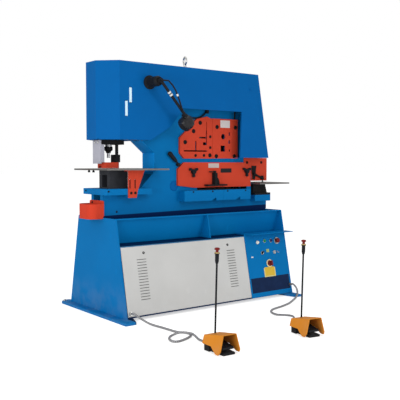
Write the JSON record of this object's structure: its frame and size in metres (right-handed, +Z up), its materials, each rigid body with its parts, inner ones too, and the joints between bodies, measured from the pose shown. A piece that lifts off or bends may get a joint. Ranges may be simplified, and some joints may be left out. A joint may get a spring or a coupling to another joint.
{
  "type": "ironworker machine",
  "caption": "Hydraulic ironworker with punch station, section, bar and flat shears, notcher, work lamp, operator panel and two foot switches on conduits.",
  "frame": {"origin": "centre of the four floor-anchor holes, on the floor", "axes": "+X along the machine towards the notcher, -Y towards the operator, +Z up"},
  "size_m": [1.949, 2.0573, 1.995],
  "materials": {
    "blue": "semi-gloss machine enamel",
    "red": "semi-gloss warm red enamel",
    "white_panel": "satin white sheet",
    "tool_steel": "ground steel, lightly oiled",
    "table_steel": "dark oiled plate, worn on top",
    "grey_paint": "light grey paint",
    "black_steel": "blackened steel",
    "zinc": "bright zinc",
    "black_plastic": "moulded black plastic",
    "lamp_metal": "black satin tube and lead",
    "hose": "black rubber",
    "lens": "clear lens",
    "green_plastic": "gloss",
    "dark_blue_plastic": "gloss",
    "red_plastic": "gloss",
    "key_metal": "plated",
    "amber_cast": "amber enamel on cast hood",
    "pedal_black": "black enamel on casting",
    "conduit": "interlocked steel hose"
  },
  "bodies": {
    "machine": {"base_frame": "blue", "frame_plates": "blue", "frame_beds": "blue", "top_cover": "blue", "lifting_eye": "zinc", "head_plate": "black_steel", "ram_guide": "tool_steel", "stripper_legs": "grey_paint", "stripper_foot": "red", "die_block": "black_steel", "die": "tool_steel", "punch_table": "table_steel", "table_bracket": "red", "fasteners": "black_steel", "slug_bin": "red", "pivot_pin": "blue", "fixed_blades": "table_steel", "angle_guard": "red", "bar_guard": "red", "flat_guard": "red", "hold_down": "black_steel", "notch_block": "black_steel", "notch_table": "table_steel", "notch_guard": "red", "lamp_turret": "black_plastic", "hose_loop": "hose", "control_panel": "blue", "pilot_lamp": "lens", "service_panel": "white_panel", "pedal_base_left": "pedal_black", "pedal_hood_left": "amber_cast", "pole_left": "black_plastic", "pedal_base_right": "pedal_black", "pedal_hood_right": "amber_cast", "pole_right": "black_plastic", "glands": "zinc", "conduit_left": "conduit", "conduit_right": "conduit"},
    "punch_ram": {"ram": "tool_steel", "punch_nut": "black_steel", "punch": "tool_steel"},
    "shear_arm": {"shear_beam": "tool_steel"},
    "pedal_left": {"treadle_left": "black_plastic"},
    "pedal_right": {"treadle_right": "black_plastic"},
    "stop_left": {"pole_stop_left": "red_plastic"},
    "stop_right": {"pole_stop_right": "red_plastic"},
    "emergency_stop": {"emergency_button": "red_plastic"},
    "start_push": {"start_button": "green_plastic"},
    "reset_push": {"reset_button": "dark_blue_plastic"},
    "mode_selector": {"selector": "black_plastic"},
    "key": {"key_switch": "key_metal"},
    "main_isolator": {"main_switch": "red_plastic"},
    "knob_left": {"star_knob_left": "black_plastic"},
    "knob_right": {"star_knob_right": "black_plastic"},
    "clamp_screw": {"hold_down_screw": "black_steel"},
    "release_lever": {"blade_lever": "black_plastic"},
    "stop_arm": {"notch_arm": "black_steel"},
    "stop_screw": {"notch_screw": "black_steel"},
    "lamp_boom": {"lamp_arm": "lamp_metal"},
    "lamp_shade": {"lamp_head": "black_plastic"}
  },
  "joints": [
    {"name": "punch_stroke", "type": "slide", "parent": "machine", "child": "punch_ram", "axis": [0, 0, -1], "range_m": [0, 0.085]},
    {"name": "shear_stroke", "type": "hinge", "parent": "machine", "child": "shear_arm", "pos_m": [-0.172, 0, 0.944], "axis": [0, 1, 0], "range_deg": [0, 4.2]},
    {"name": "pedal_press_left", "type": "hinge", "parent": "machine", "child": "pedal_left", "pos_m": [-0.78019, -1.36406, 0.057], "axis": [0.9976, -0.0698, 0], "range_deg": [0, 7], "stiffness_Nm_per_rad": 8, "springref_deg": -11.46},
    {"name": "pedal_press_right", "type": "hinge", "parent": "machine", "child": "pedal_right", "pos_m": [-0.06049, -1.38739, 0.057], "axis": [0.9848, -0.1736, 0], "range_deg": [0, 7], "stiffness_Nm_per_rad": 8, "springref_deg": -11.46},
    {"name": "stop_press_left", "type": "slide", "parent": "machine", "child": "stop_left", "axis": [-0.0279, 0.0019, -0.9996], "range_m": [0, 0.006]},
    {"name": "stop_press_right", "type": "slide", "parent": "machine", "child": "stop_right", "axis": [-0.0275, 0.0048, -0.9996], "range_m": [0, 0.006]},
    {"name": "emergency_press", "type": "slide", "parent": "machine", "child": "emergency_stop", "axis": [0, 0.9796, -0.2008], "range_m": [0, 0.006]},
    {"name": "start_press", "type": "slide", "parent": "machine", "child": "start_push", "axis": [0, 0.9796, -0.2008], "range_m": [0, 0.004], "stiffness_N_per_m": 800, "springref_m": -0.001},
    {"name": "reset_press", "type": "slide", "parent": "machine", "child": "reset_push", "axis": [0, 0.9796, -0.2008], "range_m": [0, 0.004], "stiffness_N_per_m": 800, "springref_m": -0.001},
    {"name": "selector_turn", "type": "hinge", "parent": "machine", "child": "mode_selector", "pos_m": [0.542, -0.35089, 0.37618], "axis": [0, -0.9796, 0.2008], "range_deg": [-90, 0]},
    {"name": "key_turn", "type": "hinge", "parent": "machine", "child": "key", "pos_m": [0.682, -0.35169, 0.37226], "axis": [0, -0.9796, 0.2008], "range_deg": [-90, 0]},
    {"name": "isolator_turn", "type": "hinge", "parent": "machine", "child": "main_isolator", "pos_m": [0.608, -0.36936, 0.28605], "axis": [0, -0.9796, 0.2008], "range_deg": [0, 90]},
    {"name": "knob_turn_left", "type": "hinge", "parent": "machine", "child": "knob_left", "pos_m": [-0.002, -0.105, 1.058], "axis": [0, 1, 0], "continuous": true},
    {"name": "knob_turn_right", "type": "hinge", "parent": "machine", "child": "knob_right", "pos_m": [0.575, -0.105, 1.058], "axis": [0, 1, 0], "continuous": true},
    {"name": "clamp_turn", "type": "hinge", "parent": "machine", "child": "clamp_screw", "pos_m": [0.214, -0.126, 0.95], "axis": [0, 0, 1], "range_deg": [0, 180]},
    {"name": "lever_swing", "type": "hinge", "parent": "machine", "child": "release_lever", "pos_m": [-0.14, -0.1, 1.114], "axis": [0, 1, 0], "range_deg": [-25, 30]},
    {"name": "stop_arm_swing", "type": "hinge", "parent": "machine", "child": "stop_arm", "pos_m": [0.676, -0.1, 1.031], "axis": [0, 1, 0], "range_deg": [-60, 0]},
    {"name": "stop_screw_turn", "type": "hinge", "parent": "stop_arm", "child": "stop_screw", "pos_m": [0.77, -0.106, 0.99], "axis": [0, 0, 1], "continuous": true},
    {"name": "lamp_arm_swing", "type": "hinge", "parent": "machine", "child": "lamp_boom", "pos_m": [-0.48, -0.34, 1.731], "axis": [0, 1, 0], "range_deg": [-40, 40]},
    {"name": "lamp_head_tilt", "type": "hinge", "parent": "lamp_boom", "child": "lamp_shade", "pos_m": [-0.25785, -0.338, 1.48428], "axis": [0, 1, 0], "range_deg": [-30, 30]}
  ]
}
